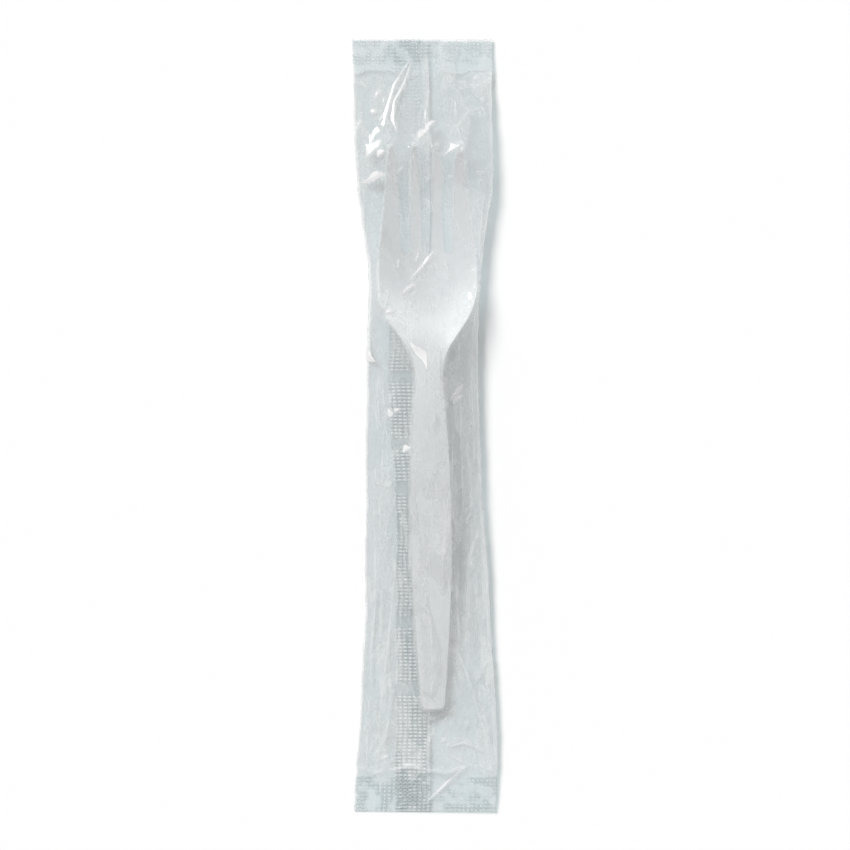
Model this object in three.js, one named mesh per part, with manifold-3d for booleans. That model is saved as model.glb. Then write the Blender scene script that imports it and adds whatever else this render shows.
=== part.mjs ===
// A wrapped plastic fork, as handed out with take-away food: one moulded fork, sealed in one
// sheet of clear film. Millimetres, +Z up, lying on its back: the tines point along +Y, the
// film's lengthwise seam is underneath, and the origin is under the middle of the pack.
import * as THREE from 'three';
import Module from 'manifold-3d';
import { mergeVertices } from 'three/addons/utils/BufferGeometryUtils.js';

const wasm = await Module();
wasm.setup();

// Driving dimensions.
const FORK_LENGTH = 158;
const FORK_FOOT = new THREE.Vector3(2.35, -79.8, 0.62); // middle of the handle's end, in the pack
const FORK_TURN = THREE.MathUtils.degToRad(0.77); // the head lies a little towards -X
const PACK_LENGTH = 216.8;
const PACK_WIDTH = 41;
const FILM = 0.03; // one ply
const SEAL_TOP = 7; // length of the crimped seal past the tines
const SEAL_FOOT = 9.5; // length of the crimped seal past the handle
const CRIMP_PITCH = 1;
const CRIMP_DEPTH = 0.12;
const FIN_WIDTH = 10; // the lengthwise seam's two welded plies, folded flat against the back
const FIN_DROP = 0.25; // how far the folded seam stands off the back ply
const UNWELDED_WIDTH = 1.6; // plies left open beside the seam's fold in the foot seal
const UNWELDED_GAP = 0.02;
const SEALED_PLY = FILM + UNWELDED_GAP / 2; // from a seal's middle to its outer face
const SEAL_BLEND = 1; // from a seal's inner edge to the first station of the body

// Stations along the fork, from the handle's end: [distance, value].
const FORK_HALF_WIDTH = through([
  [0, 2.8], [1, 3.15], [12, 4.1], [34, 5.4], [50, 5.75], [66, 5.5], [81, 4.7], [94, 3.75],
  [99, 4.6], [105, 8.1], [111.5, 12.3], [119, 14], [126, 13.6], [142, 12], [152.5, 10.85],
  [156.5, 10.3], [FORK_LENGTH, 9.9],
]);
const FORK_SPINE = through([
  [0, 2.8], [20, 4.8], [47, 8], [75, 11.2], [90, 12.4], [97, 12], [104, 9.2], [112, 4.6],
  [119, 1.9], [125, 1.3], [134, 1.9], [146, 4.2], [FORK_LENGTH, 8],
]);
// How far the top's edges stand above its middle: crowned on the handle, dished in the bowl.
const FORK_DISH = through([
  [0, -0.4], [90, -0.5], [98, 0], [106, 2.6], [118, 4.7], [130, 3.4], [146, 1.2], [FORK_LENGTH, 0.5],
]);
const FORK_WALL = through([[0, 1.3], [90, 1.5], [120, 1.2], [140, 1.3], [FORK_LENGTH, 1]]);
// Depth of the two flanges that stiffen the handle's underside. They die out at both ends.
const FORK_FLANGE = through([[0, 1.1], [2.6, 1.1], [60, 1.3], [88, 1], [102, 0], [FORK_LENGTH, 0]]);
const FLANGE_WIDTH = 1.1;
const END_LIP = 2.6; // the hollow underside stops this far short of the handle's end
const EDGE_ROUND = 0.35;
const FORK_CUT_DEPTH = 30;

const TINE_PITCH_TIP = 6.5;
const SLOT_PITCH = 6;
const SLOT_ROOT_RADIUS = 1.3;
const SLOT_ROOT_AT = 127.8;
const SLOT_MOUTH_WIDTH = 3.9;
const TIP_TAPER_AT = 152.5;
const TIP_SHOULDER_AT = 156.6;
const TIP_HALF_WIDTH = 0.3;

// Stations along the pack: [y, value].
const HALF_LENGTH = PACK_LENGTH / 2;
const HALF_WIDTH = PACK_WIDTH / 2;
const PACK_LEFT = through([
  [-HALF_LENGTH, -20], [-77, -18], [-49, -16.8], [7, -16.4], [42, -15.9], [58, -17.7], [67, -19.1],
  [91, -20], [HALF_LENGTH, -HALF_WIDTH],
]);
const PACK_RIGHT = through([
  [-HALF_LENGTH, 19.7], [-92, HALF_WIDTH], [-77, 19.7], [-49, 18.1], [-15, 15.9], [7, 15], [28, 14.9],
  [42, 15.7], [58, 17.7], [67, 19], [HALF_LENGTH, 18.8],
]);
const FOLD_HEIGHT = through([
  [-HALF_LENGTH, 1.2], [-98, 1.3], [-40, 2.6], [10, 4.2], [40, 6.4], [78, 5.4], [98, 2.4],
  [HALF_LENGTH, 2.1],
]);
const CROWN_HEIGHT = through([
  [-98.8, 1.34], [-88, 3.9], [-79, 4.9], [-33, 10], [-5, 13.1], [10, 14.2], [20, 14], [32, 11.6],
  [44, 9.9], [60, 9.4], [79, 10.6], [86, 8.6], [94, 5.4], [101.4, 2.42],
]);
const BACK_HEIGHT = through([[-98.8, 1.26], [-90, FIN_DROP], [88, FIN_DROP], [101.4, 2.34]]);
// 1 is a tent, 2 an ellipse, more is squarer.
const TOP_SQUARENESS = through([[-98.8, 2], [-60, 1.8], [10, 1.5], [24, 2.2], [38, 3.6], [80, 3], [100, 2]]);
const BACK_SQUARENESS = 3;
const FIN_STANDOFF = through([[-98.9, 3 * FILM], [-94, FIN_DROP], [94, FIN_DROP], [101.4, 3 * FILM]]);
const FIN_ROOT = through([[-HALF_LENGTH, 1.6], [-30, 1.8], [20, -0.4], [60, 1.6], [HALF_LENGTH, 1.2]]);
const forkMiddle = (y) => FORK_FOOT.x - (y - FORK_FOOT.y) * Math.tan(FORK_TURN);

const FORK_ACROSS = 12; // strips across the fork's top
const FORK_ALONG = 54;
const FILM_ACROSS = 16; // strips across one ply
const FILM_ALONG = 34;
const OVERRUN = 2; // how far a cutter reaches past what it cuts

// A smooth curve through stations [at, value] that never overshoots between two of them.
function through(stations) {
  const at = stations.map((station) => station[0]);
  const value = stations.map((station) => station[1]);
  const last = at.length - 1;
  const rise = at.slice(1).map((end, i) => (value[i + 1] - value[i]) / (end - at[i]));
  const slope = value.map((_, i) => {
    if (i === 0) return rise[0];
    if (i === last) return rise[last - 1];
    if (rise[i - 1] * rise[i] <= 0) return 0;
    return (2 * rise[i - 1] * rise[i]) / (rise[i - 1] + rise[i]);
  });
  return (x) => {
    const inside = THREE.MathUtils.clamp(x, at[0], at[last]);
    const i = Math.min(Math.max(at.findIndex((end) => inside <= end) - 1, 0), last - 1);
    const span = at[i + 1] - at[i];
    const t = (inside - at[i]) / span;
    const ease = t * t * (3 - 2 * t);
    const lead = t * (1 - t) * (1 - t) * span * slope[i];
    const tail = t * t * (t - 1) * span * slope[i + 1];
    return value[i] + (value[i + 1] - value[i]) * ease + lead + tail;
  };
}

// Evenly spread values from start to end, both included.
function spread(start, end, count) {
  return Array.from({ length: count + 1 }, (_, i) => THREE.MathUtils.lerp(start, end, i / count));
}

// A closed skin over rings that all have the same count of points. A ring starts at its -X end,
// runs along its upper side to the point halfway round, and comes back along its lower side.
// A sleeve's two skins are split along the same diagonals, so they stay one ply apart.
function skin(rings) {
  const count = rings[0].length;
  const faces = [];
  const quad = (a, b, c, d) => faces.push(a, b, d, b, c, d);
  for (let ring = 0; ring + 1 < rings.length; ring += 1) {
    const outward = rings[ring + 1][0].y >= rings[ring][0].y;
    const here = ring * count;
    const there = here + count;
    for (let i = 0; i < count; i += 1) {
      const next = (i + 1) % count;
      if (outward) quad(here + i, here + next, there + next, there + i);
      else quad(there + i, here + i, here + next, there + next);
    }
  }
  const last = (rings.length - 1) * count;
  for (let i = 0; i < count / 2; i += 1) {
    const below = (count - i) % count;
    const belowNext = count - i - 1;
    quad(i, below, belowNext, i + 1);
    quad(last + i, last + i + 1, last + belowNext, last + below);
  }
  const places = new Float32Array(rings.flat().flatMap((point) => point.toArray()));
  const geometry = new THREE.BufferGeometry();
  geometry.setAttribute('position', new THREE.BufferAttribute(places, 3));
  geometry.setIndex(faces);
  return geometry;
}

function solid(geometry) {
  const bare = geometry.clone();
  bare.deleteAttribute('normal');
  bare.deleteAttribute('uv');
  const merged = mergeVertices(bare, 1e-4);
  const corners = merged.index.array;
  const faces = [];
  for (let i = 0; i < corners.length; i += 3) {
    const [a, b, c] = corners.slice(i, i + 3);
    if (a !== b && b !== c && a !== c) faces.push(a, b, c);
  }
  return new wasm.Manifold(new wasm.Mesh({
    numProp: 3,
    vertProperties: new Float32Array(merged.attributes.position.array),
    triVerts: new Uint32Array(faces),
  }));
}

function geometryOf(manifold) {
  const mesh = manifold.getMesh();
  const geometry = new THREE.BufferGeometry();
  geometry.setAttribute('position', new THREE.BufferAttribute(mesh.vertProperties, mesh.numProp));
  geometry.setIndex(Array.from(mesh.triVerts));
  geometry.computeVertexNormals();
  return geometry;
}

// The fork's cross-section: a wall with rounded edges, and flanges under the handle's two edges.
function forkSection(along) {
  const half = FORK_HALF_WIDTH(along);
  const across = spread(EDGE_ROUND - half, half - EDGE_ROUND, FORK_ACROSS);
  const top = (v) => FORK_SPINE(along) + FORK_DISH(along) * (v / half) ** 2;
  const flange = (v) => {
    const inEdge = THREE.MathUtils.smoothstep(Math.abs(v), half - 2 * FLANGE_WIDTH, half - FLANGE_WIDTH);
    return FORK_FLANGE(along) * (along < END_LIP ? 1 : inEdge);
  };
  const under = (v) => top(v) - FORK_WALL(along) - flange(v);
  const edge = (v) => (top(v) + under(v)) / 2;
  return [
    new THREE.Vector3(-half, along, edge(across[0])),
    ...across.map((v) => new THREE.Vector3(v, along, top(v))),
    new THREE.Vector3(half, along, edge(across[FORK_ACROSS])),
    ...across.toReversed().map((v) => new THREE.Vector3(v, along, under(v))),
  ];
}

// The gap between two tines: round at its root, and flaring where the tips are pointed.
function slotShape(side) {
  const centre = side * SLOT_PITCH;
  const tipCentre = side * TINE_PITCH_TIP;
  const mouth = SLOT_MOUTH_WIDTH / 2;
  const reach = TINE_PITCH_TIP / 2 - TIP_HALF_WIDTH;
  const root = SLOT_ROOT_AT + SLOT_ROOT_RADIUS;
  const shape = new THREE.Shape();
  shape.absarc(centre, root, SLOT_ROOT_RADIUS, Math.PI, 2 * Math.PI, false);
  shape.lineTo(centre + mouth, TIP_TAPER_AT);
  shape.quadraticCurveTo(centre + mouth + TIP_HALF_WIDTH, TIP_SHOULDER_AT, tipCentre + reach, FORK_LENGTH);
  shape.lineTo(tipCentre + reach, FORK_LENGTH + OVERRUN);
  shape.lineTo(tipCentre - reach, FORK_LENGTH + OVERRUN);
  shape.lineTo(tipCentre - reach, FORK_LENGTH);
  shape.quadraticCurveTo(centre - mouth - TIP_HALF_WIDTH, TIP_SHOULDER_AT, centre - mouth, TIP_TAPER_AT);
  shape.closePath();
  return shape;
}

function makeFork() {
  const along = [0, 0.5, END_LIP - 0.01, ...spread(END_LIP, FORK_LENGTH, FORK_ALONG)];
  const blank = solid(skin(along.map(forkSection)));
  const cut = { depth: FORK_CUT_DEPTH, bevelEnabled: false, curveSegments: 8 };
  const fork = [-1, 0, 1].reduce((body, side) => {
    const slot = new THREE.ExtrudeGeometry(slotShape(side), cut);
    return body.subtract(solid(slot.translate(0, 0, -OVERRUN)));
  }, blank);
  const plastic = new THREE.MeshStandardMaterial({ color: 0xf1f2f2, roughness: 0.32, metalness: 0 });
  const mesh = new THREE.Mesh(geometryOf(fork), plastic);
  mesh.name = 'fork';
  mesh.position.copy(FORK_FOOT);
  mesh.rotation.z = FORK_TURN;
  return mesh;
}

// How far a crimped seal's ridges and valleys lift and lower its plies.
function crimp(y) {
  const past = Math.max(y - (HALF_LENGTH - SEAL_TOP), SEAL_FOOT - HALF_LENGTH - y);
  return past > 0 ? CRIMP_DEPTH * Math.cos((2 * Math.PI * past) / CRIMP_PITCH) : 0;
}

const foldHeight = (y) => FOLD_HEIGHT(y) + crimp(y);
const upperRise = (y) => Math.max(CROWN_HEIGHT(y) - FOLD_HEIGHT(y), SEALED_PLY);
const lowerDrop = (y) => Math.max(FOLD_HEIGHT(y) - BACK_HEIGHT(y), SEALED_PLY);

// A cross-section of the film tube's outer skin, or of its inner one when inset by a ply.
function filmSection(y, inset) {
  const left = PACK_LEFT(y) + 2 * inset;
  const right = PACK_RIGHT(y) - 2 * inset;
  const apex = forkMiddle(y);
  const place = (share, rise, power) => new THREE.Vector3(
    apex + share * (share < 0 ? apex - left : right - apex),
    y,
    foldHeight(y) + rise * (1 - Math.abs(share) ** power) ** (1 / power),
  );
  const shares = spread(0, Math.PI, FILM_ACROSS).map((angle) => -Math.cos(angle));
  const inner = shares.slice(1, -1).toReversed();
  return [
    ...shares.map((share) => place(share, upperRise(y) - inset, TOP_SQUARENESS(y))),
    ...inner.map((share) => place(share, inset - lowerDrop(y), BACK_SQUARENESS)),
  ];
}

// The way left open through the foot seal, where two plies lie together unwelded.
function unweldedSection(y) {
  const narrowing = UNWELDED_WIDTH / (PACK_RIGHT(y) - PACK_LEFT(y));
  const thinning = UNWELDED_GAP / (2 * SEALED_PLY);
  return filmSection(y, 0).map((point) => new THREE.Vector3(
    THREE.MathUtils.lerp(FIN_ROOT(y) + UNWELDED_WIDTH, point.x + UNWELDED_WIDTH, narrowing),
    y,
    THREE.MathUtils.lerp(foldHeight(y), point.z, thinning),
  ));
}


// The lengthwise seam: two plies welded face to face, standing off the back and folded to -X.
function finSection(y) {
  const weld = 2 * FILM;
  const root = FIN_ROOT(y);
  const back = foldHeight(y) - lowerDrop(y);
  const under = back - FIN_STANDOFF(y);
  return [
    new THREE.Vector3(root - FIN_WIDTH, y, under),
    new THREE.Vector3(root - FIN_WIDTH, y, under + weld),
    new THREE.Vector3(root - weld, y, under + weld),
    new THREE.Vector3(root - weld, y, back + FILM / 2),
    new THREE.Vector3(root, y, back + FILM / 2),
    new THREE.Vector3(root, y, under),
  ];
}

function makeWrapper() {
  const footSealEnd = SEAL_FOOT - HALF_LENGTH;
  const topSealStart = HALF_LENGTH - SEAL_TOP;
  const foot = spread(-HALF_LENGTH, footSealEnd, (2 * SEAL_FOOT) / CRIMP_PITCH);
  const body = spread(footSealEnd + SEAL_BLEND, topSealStart - SEAL_BLEND, FILM_ALONG);
  const top = spread(topSealStart, HALF_LENGTH, (2 * SEAL_TOP) / CRIMP_PITCH);
  const along = [...foot, ...body, ...top];
  const cavity = [...foot.map(unweldedSection), ...body.map((y) => filmSection(y, FILM))];
  const outside = along.map((y) => filmSection(y, 0));
  const tube = solid(skin([...cavity.toReversed(), ...outside]));
  const film = tube.add(solid(skin(along.map(finSection))));
  const clear = new THREE.MeshStandardMaterial({
    color: 0xdfe6e6,
    roughness: 0.12,
    metalness: 0,
    transparent: true,
    opacity: 0.3,
  });
  const mesh = new THREE.Mesh(geometryOf(film), clear);
  mesh.name = 'film_wrapper';
  return mesh;
}

const pack = new THREE.Group();
pack.add(makeFork(), makeWrapper());

export default pack;
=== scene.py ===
"""A wrapped plastic fork: one moulded fork, sealed in one folded sheet of clear film."""

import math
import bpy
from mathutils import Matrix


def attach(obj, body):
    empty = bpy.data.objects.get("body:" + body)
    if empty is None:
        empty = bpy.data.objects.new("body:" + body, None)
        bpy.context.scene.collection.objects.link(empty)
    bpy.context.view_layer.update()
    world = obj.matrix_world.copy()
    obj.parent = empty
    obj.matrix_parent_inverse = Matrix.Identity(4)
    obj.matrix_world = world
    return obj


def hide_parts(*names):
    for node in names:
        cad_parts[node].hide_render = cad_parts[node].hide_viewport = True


bl_info = {
    "name": "Wrapped Fork",
    "version": (1, 0, 0),
    "blender": (4, 5, 0),
    "location": "View3D > Sidebar > Wrapped Fork",
    "description": "Builds a plastic fork sealed in crinkled clear film, and a plain studio for it",
    "category": "Add Mesh",
}

import bpy
import numpy as np
from bpy.props import FloatProperty, FloatVectorProperty, PointerProperty
from mathutils import Vector
from mathutils.bvhtree import BVHTree
from mathutils.geometry import delaunay_2d_cdt

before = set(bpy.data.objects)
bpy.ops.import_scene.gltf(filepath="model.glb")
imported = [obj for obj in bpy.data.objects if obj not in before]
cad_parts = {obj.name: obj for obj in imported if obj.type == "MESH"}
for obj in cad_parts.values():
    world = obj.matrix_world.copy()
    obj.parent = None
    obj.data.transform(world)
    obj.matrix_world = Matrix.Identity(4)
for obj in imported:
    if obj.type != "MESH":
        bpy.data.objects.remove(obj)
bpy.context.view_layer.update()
MM = 0.001
FORK_NAME = "fork_moulding"
FILM_NAME = "film_sleeve"


# Small shared helpers


def curve(stations):
    """A smooth curve through stations (at, value) that never overshoots between two of them."""
    at = np.array([station[0] for station in stations], float)
    value = np.array([station[1] for station in stations], float)
    rise = np.diff(value) / np.diff(at)
    slope = np.zeros(len(at))
    slope[0] = rise[0]
    slope[-1] = rise[-1]
    same_way = rise[:-1] * rise[1:] > 0
    total = np.where(same_way, rise[:-1] + rise[1:], 1)
    slope[1:-1] = np.where(same_way, 2 * rise[:-1] * rise[1:] / total, 0)

    def read(x):
        inside = np.clip(np.asarray(x, float), at[0], at[-1])
        i = np.clip(np.searchsorted(at, inside, side="right") - 1, 0, len(at) - 2)
        span = at[i + 1] - at[i]
        t = (inside - at[i]) / span
        ease = t * t * (3 - 2 * t)
        lead = t * (1 - t) ** 2 * span * slope[i]
        tail = t * t * (t - 1) * span * slope[i + 1]
        return value[i] + (value[i + 1] - value[i]) * ease + lead + tail

    return read


def smoothstep(x, low, high):
    t = np.clip((np.asarray(x, float) - low) / (high - low), 0, 1)
    return t * t * (3 - 2 * t)


def object_mode():
    if bpy.context.object and bpy.context.object.mode != "OBJECT":
        bpy.ops.object.mode_set(mode="OBJECT")


def only(piece):
    """Makes piece the one selected, active object."""
    object_mode()
    bpy.ops.object.select_all(action="DESELECT")
    piece.select_set(True)
    bpy.context.view_layer.objects.active = piece


def grid(name, columns, rows):
    """A flat grid object at the origin, with its points in row-major order (rows, columns, 3)."""
    object_mode()
    bpy.ops.object.select_all(action="DESELECT")
    bpy.ops.mesh.primitive_grid_add(x_subdivisions=columns, y_subdivisions=rows, size=2)
    piece = bpy.context.object
    piece.name = name
    piece.data.name = name
    places = read_points(piece)
    order = np.lexsort((np.round(places[:, 0], 5), np.round(places[:, 1], 5)))
    return piece, order


def read_points(piece):
    places = np.zeros(len(piece.data.vertices) * 3)
    piece.data.vertices.foreach_get("co", places)
    return places.reshape(-1, 3)


def write_points(piece, places):
    piece.data.vertices.foreach_set("co", np.asarray(places, float).reshape(-1))
    piece.data.update()


def place_grid(piece, order, places):
    """Moves a grid's points to places, given as (rows, columns, 3)."""
    moved = np.zeros((len(order), 3))
    moved[order] = places.reshape(-1, 3)
    write_points(piece, moved)


def keep_numbers(piece, order, **values):
    """Stores a number on each of a grid's points, for later steps to read."""
    for name, value in values.items():
        numbers = np.zeros(len(order), np.float32)
        numbers[order] = value.reshape(-1)
        piece.data.attributes.new(name, "FLOAT", "POINT").data.foreach_set("value", numbers)


def read_numbers(piece, name):
    numbers = np.zeros(len(piece.data.vertices), np.float32)
    piece.data.attributes[name].data.foreach_get("value", numbers)
    return numbers


def select_faces(piece, wanted, among=None):
    """Selects, in edit mode, the faces whose corners' station and line numbers are wanted."""
    only(piece)
    bpy.ops.object.mode_set(mode="EDIT")
    bpy.ops.mesh.select_mode(type="FACE")
    bpy.ops.mesh.select_all(action="DESELECT")
    object_mode()
    station = read_numbers(piece, "station")
    line = read_numbers(piece, "line")
    for face in piece.data.polygons:
        corners = list(face.vertices)
        inside = among is None or among.issuperset(corners)
        face.select = bool(inside and wanted(station[corners], line[corners]))
    bpy.ops.object.mode_set(mode="EDIT")


def add_modifier(piece, kind, **settings):
    modifier = piece.modifiers.new(kind.title(), kind)
    for name, value in settings.items():
        setattr(modifier, name, value)
    return modifier


def apply_modifiers(piece):
    only(piece)
    for modifier in list(piece.modifiers):
        bpy.ops.object.modifier_apply(modifier=modifier.name)


# The fork. Stations run from the handle's end, in millimetres.

FORK_LENGTH = 158
FORK_FOOT = (2.35, -79.8, 0.62)  # where the handle's end lies in the pack
FORK_TURN = math.radians(0.77)
FORK_HALF_WIDTH = curve([
    (0, 2.8), (1, 3.15), (12, 4.1), (34, 5.4), (50, 5.75), (66, 5.5), (81, 4.7), (94, 3.75),
    (99, 4.6), (105, 8.1), (111.5, 12.3), (119, 14), (126, 13.6), (142, 12), (152.5, 10.85),
    (156.5, 10.3), (FORK_LENGTH, 9.9),
])
# How high the upper face is along the middle.
FORK_SPINE = curve([
    (0, 2.8), (20, 4.8), (47, 8), (75, 11.2), (90, 12.4), (97, 12), (104, 9.2), (112, 4.6),
    (119, 1.9), (125, 1.3), (134, 1.9), (146, 4.2), (FORK_LENGTH, 8),
])
# How much higher it is at the sides.
FORK_DISH = curve([
    (0, -0.4), (90, -0.5), (98, 0), (106, 2.6), (118, 4.7), (130, 3.4), (146, 1.2),
    (FORK_LENGTH, 0.5),
])
# How thick the wall is, and how far the flanges hang below it.
FORK_WALL = curve([(0, 1.3), (90, 1.5), (120, 1.2), (140, 1.3), (FORK_LENGTH, 1)])
FORK_FLANGE = curve([(0, 1.1), (2.6, 1.1), (60, 1.3), (88, 1), (102, 0), (FORK_LENGTH, 0)])
FLANGE_WIDTH = 1.1
FLANGE_END = 101  # the station where the flanges have died out
END_LIP = 2.6  # the station that the lip across the handle's end reaches
FIRST_STEP = 0.1  # how far the flanges are first pulled down
SHARP_ANGLE = math.radians(38)  # edges sharper than this are rounded
# The gaps between the tines: how far apart, how wide, and the stations where they start and flare.
SLOT_PITCH = 6
SLOT_PITCH_TIP = 6.5
SLOT_RADIUS = 1.3
SLOT_MOUTH = 1.95
SLOT_ROOT_AT = 127.8
TIP_TAPER_AT = 152.5
ROOT_SAG = 0.1  # how far the middle of a gap's end is moved towards the handle to round it
ROOT_PULL = 0.35  # and its corners towards the tips
GAP_COLUMNS = (2, 3, 6, 7, 10, 11)  # the columns of faces that the gaps take away
SLOT_LINES = (3, 7, 11)  # the lengthwise lines that run down the middles of the gaps
HANDLE_STATIONS = (
    0, 1.2, END_LIP, 4, 9, 16, 24, 33, 42, 51, 60, 69, 77, 84, 90, 94, 97.5, 101, 104, 107, 110,
    113, 116, 119, 122, 125,
)
TINE_STATIONS = (
    127, SLOT_ROOT_AT, 129.1, 131.5, 135, 139, 143, 147, 150.3, 152.8, 154.8, 156.3, 157.3,
    FORK_LENGTH,
)
# How wide the gap between two tines is at each tine station, as a half-width.
SLOT_HALF = curve([
    (SLOT_ROOT_AT, 1.02), (129.1, SLOT_RADIUS), (TIP_TAPER_AT, SLOT_MOUTH), (154.8, 2.2),
    (156.3, 2.5), (157.3, 2.8), (FORK_LENGTH, 3.02),
])
SLOT_CENTRE = curve([
    (SLOT_ROOT_AT, SLOT_PITCH), (TIP_TAPER_AT, 6.15), (FORK_LENGTH, SLOT_PITCH_TIP),
])


def fork_columns(along):
    """Where a station's fifteen lengthwise lines cross it, from -X to +X."""
    half = float(FORK_HALF_WIDTH(along))
    handle_half = half - FLANGE_WIDTH
    handle = np.concatenate([[-half], np.linspace(-handle_half, handle_half, 13), [half]])
    centre = float(SLOT_CENTRE(along))
    gap = float(SLOT_HALF(along))
    lines = [-half]
    for slot in (-centre, 0, centre):
        lines += [(lines[-1] + slot - gap) / 2, slot - gap, slot, slot + gap]
    lines += [(lines[-1] + half) / 2, half]
    blend = float(smoothstep(along, 88, 112))
    return handle * (1 - blend) + np.array(lines) * blend


def fork_top(along, across):
    half = FORK_HALF_WIDTH(along)
    return FORK_SPINE(along) + FORK_DISH(along) * (across / half) ** 2


def to_pack(along, across, up):
    """Places on the fork, in millimetres, as places in the pack, in metres."""
    x = FORK_FOOT[0] + across * math.cos(FORK_TURN) - along * math.sin(FORK_TURN)
    y = FORK_FOOT[1] + across * math.sin(FORK_TURN) + along * math.cos(FORK_TURN)
    return np.stack([x, y, FORK_FOOT[2] + up], axis=-1) * MM


def build_fork(edge_round):
    """A cage of fifteen lengthwise lines, given its wall, its flanges and its rounded edges."""
    stations = np.array(HANDLE_STATIONS + TINE_STATIONS, float)
    across = np.array([fork_columns(along) for along in stations])
    lines = across.shape[1]
    along = np.repeat(stations[:, None], lines, axis=1)
    root = len(HANDLE_STATIONS) + 1
    for middle in SLOT_LINES:
        along[root, middle] -= ROOT_SAG
        along[root, [middle - 1, middle + 1]] += ROOT_PULL
    piece, order = grid(FORK_NAME, lines - 1, len(stations) - 1)
    place_grid(piece, order, to_pack(along, across, fork_top(along, across)))
    keep_numbers(piece, order, along=along, across=across, station=np.repeat(
        np.arange(len(stations))[:, None], lines, axis=1
    ), line=np.tile(np.arange(lines), (len(stations), 1)))

    def in_gap(station, line):
        return station.min() >= root and line.min() in GAP_COLUMNS

    select_faces(piece, in_gap)
    bpy.ops.mesh.delete(type="FACE")
    object_mode()
    top_count = len(piece.data.vertices)
    add_modifier(piece, "SOLIDIFY", thickness=MM, offset=-1)
    apply_modifiers(piece)
    along = read_numbers(piece, "along")
    across = read_numbers(piece, "across")
    is_under = np.arange(len(along)) >= top_count
    up = fork_top(along, across) - np.where(is_under, FORK_WALL(along), 0)
    write_points(piece, to_pack(along, across, up))

    handle_end = HANDLE_STATIONS.index(FLANGE_END)
    lip = HANDLE_STATIONS.index(END_LIP)

    def under_flange(station, line):
        at_side = line.min() == 0 or line.max() == lines - 1
        return station.max() <= handle_end and (at_side or station.max() <= lip)

    under = np.nonzero(is_under)[0]
    select_faces(piece, under_flange, among=set(under.tolist()))
    bpy.ops.mesh.extrude_region_move(TRANSFORM_OT_translate={"value": (0, 0, -FIRST_STEP * MM)})
    object_mode()
    along = read_numbers(piece, "along")
    places = read_points(piece)
    picked = np.array([point.select for point in piece.data.vertices])
    places[picked, 2] += (FIRST_STEP - FORK_FLANGE(along[picked])) * MM
    write_points(piece, places)

    only(piece)
    bpy.ops.object.mode_set(mode="EDIT")
    bpy.ops.mesh.select_all(action="SELECT")
    bpy.ops.mesh.normals_make_consistent(inside=False)
    object_mode()
    add_modifier(
        piece, "BEVEL", width=edge_round, segments=2, limit_method="ANGLE", angle_limit=SHARP_ANGLE
    )
    add_modifier(piece, "SUBSURF", levels=2, render_levels=2)
    apply_modifiers(piece)
    bpy.ops.object.shade_smooth()
    for name in ("along", "across", "station", "line"):
        piece.data.attributes.remove(piece.data.attributes[name])
    return piece


# The film. One cut sheet, folded round the fork into a sleeve, with a seam underneath that is
# folded flat and a crimped seal across each end. Stations run along the pack, in millimetres.

WEB_WIDTH = 100
FRONT = (0.3, 0.7)  # the part of the web's width that is the pack's front
PACK_LENGTH = 216.8
HALF_LENGTH = PACK_LENGTH / 2
HALF_WIDTH = 20.5
SEAL_TOP = 7
SEAL_FOOT = 9.5
FIN_WIDTH = 10
# The pack's two sides, the heights of the folds there, and how much of them the back takes up.
PACK_LEFT = curve([
    (-HALF_LENGTH, -20), (-77, -18), (-49, -16.8), (7, -16.4), (42, -15.9), (58, -17.7),
    (67, -19.1), (91, -20), (HALF_LENGTH, -HALF_WIDTH),
])
PACK_RIGHT = curve([
    (-HALF_LENGTH, 19.7), (-92, HALF_WIDTH), (-77, 19.7), (-49, 18.1), (-15, 15.9), (7, 15),
    (28, 14.9), (42, 15.7), (58, 17.7), (67, 19), (HALF_LENGTH, 18.8),
])
LEFT_HEIGHT = curve([
    (-HALF_LENGTH, 0.55), (-98, 0.5), (-40, 0.6), (10, 0.7), (40, 0.9), (78, 0.8), (98, 0.55),
    (HALF_LENGTH, 0.45),
])
RIGHT_HEIGHT = curve([
    (-HALF_LENGTH, 1.2), (-98, 1.9), (-40, 3), (10, 4.2), (40, 5.2), (78, 4.2), (98, 2),
    (HALF_LENGTH, 1),
])
BACK_HEIGHT = curve([(-98.8, 1), (-90, 0), (90, 0), (101.4, 1)])
BACK_FLOOR = 0.3
# Where the back seam meets the back.
FIN_ROOT = curve([
    (-HALF_LENGTH, 1.6), (-30, 1.8), (20, -0.4), (60, 1.6), (HALF_LENGTH, 1.2),
])
# How high the crumple is.
CRUMPLE = curve([
    (-HALF_LENGTH, 0.35), (-98, 0.8), (-82, 1.0), (-60, 0.85), (0, 0.8), (25, 0.7), (50, 0.6),
    (64, 0.9), (95, 1.05), (101, 0.5), (HALF_LENGTH, 0.3),
])
HANDLE_MIDDLE = -32
HANDLE_REACH = (44, 66)  # how far from there the crumple stops being lengthwise
PLAN_HALF_WIDTH = 22
PLAN_MARGIN = 0.4  # how far the plan grid goes past the pack's ends
SAMPLE = 0.25  # spacing of the plan grid that the film's heights are worked out on
CLEARANCE = 0.07  # between the film and the fork
FAR = 50  # well above and below everything
PLY_GAP = 0.1
SEAL_OUTSIDE = 2.4  # how far outside a seal's edge the plies start to close
SEAL_INSIDE = 0.4  # how far inside it they have closed
BACK_LOWEST = 0.22  # the back's lowest point above the floor, with the fin under it
LOWEST = 0.05  # the lowest point of all
NEAR_FORK = 1  # how near the fork a face of the film is tested against it
PARTING = 0.04  # how far the film is moved off the fork in one go
MOST_PARTINGS = 14
# How the front is pulled taut: how much coarser the plan grid is, how many times, and the sag.
SETTLING = ((8, 500, 0.04), (4, 300, 0.01), (2, 200, 0.0025), (1, 120, 0.0006))
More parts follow.
